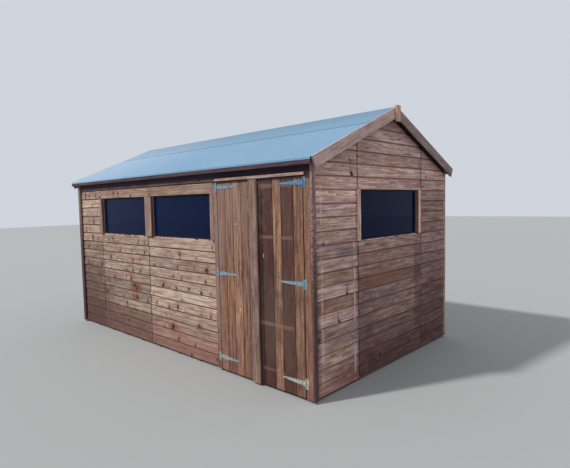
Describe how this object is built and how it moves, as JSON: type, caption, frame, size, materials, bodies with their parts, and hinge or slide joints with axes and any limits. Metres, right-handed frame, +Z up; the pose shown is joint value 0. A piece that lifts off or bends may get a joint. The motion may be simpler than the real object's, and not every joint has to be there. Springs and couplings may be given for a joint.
{
  "type": "wooden garden shed with an apex roof and double doors",
  "caption": "Timber garden shed on a raised floor, with weatherboarded walls, an apex felt roof, long fixed windows and a pair of boarded doors on tee hinges.",
  "frame": {"origin": "on the ground under the middle of the plan", "axes": "+X along the front towards the gable with the window, +Y from front to back, +Z up"},
  "size_m": [4.5, 2.586, 2.545],
  "materials": {
    "cladding": "pressure-treated softwood, brown, sawn",
    "trim": "pressure-treated softwood, brown, planed",
    "framing": "softwood, sawn, unfinished inside",
    "floor": "softwood boards, planed",
    "doors": "pressure-treated softwood boards, brown",
    "roof_felt": "mineral-faced bitumen felt, pale blue-grey",
    "glass": "clear sheet glass",
    "galvanised_steel": "galvanised"
  },
  "bodies": {
    "shed": {"floor_joists": "framing", "floor_boards": "floor", "front_cladding_below_windows": "cladding", "front_cladding_beside_openings": "cladding", "front_cladding_above_windows": "cladding", "front_cladding_over_doors": "cladding", "right_gable_cladding_below": "cladding", "right_gable_cladding_beside": "cladding", "right_gable_cladding_above": "cladding", "left_gable_cladding": "cladding", "back_cladding": "cladding", "wall_studs": "framing", "side_wall_plates": "framing", "gable_rails": "framing", "window_rails": "framing", "door_head": "framing", "ridge_beam": "framing", "purlins": "framing", "rafters": "framing", "roof_ties": "framing", "front_roof_boards": "floor", "back_roof_boards": "floor", "front_roof_felt": "roof_felt", "back_roof_felt": "roof_felt", "ridge_felt": "roof_felt", "fascias": "trim", "front_bargeboards": "trim", "back_bargeboards": "trim", "finials": "trim", "corner_trims": "trim", "door_jambs": "trim", "drip_bar": "trim", "window_side_linings": "trim", "window_sills": "trim", "window_heads": "trim", "window_trims": "trim", "window_glass": "glass", "hinge_plates": "galvanised_steel"},
    "left_door": {"left_door_boards": "doors", "left_door_ledges": "doors", "left_door_braces": "doors", "meeting_strip": "doors", "left_door_hinges": "galvanised_steel"},
    "right_door": {"right_door_boards": "doors", "right_door_ledges": "doors", "right_door_braces": "doors", "right_door_hinges": "galvanised_steel"}
  },
  "joints": [
    {"name": "left_door_hinge", "type": "hinge", "parent": "shed", "child": "left_door", "pos_m": [0.979, -1.243, 0.975], "axis": [0, 0, -1], "range_deg": [0, 170]},
    {"name": "right_door_hinge", "type": "hinge", "parent": "shed", "child": "right_door", "pos_m": [2.07, -1.243, 0.975], "axis": [0, 0, 1], "range_deg": [0, 170]}
  ]
}
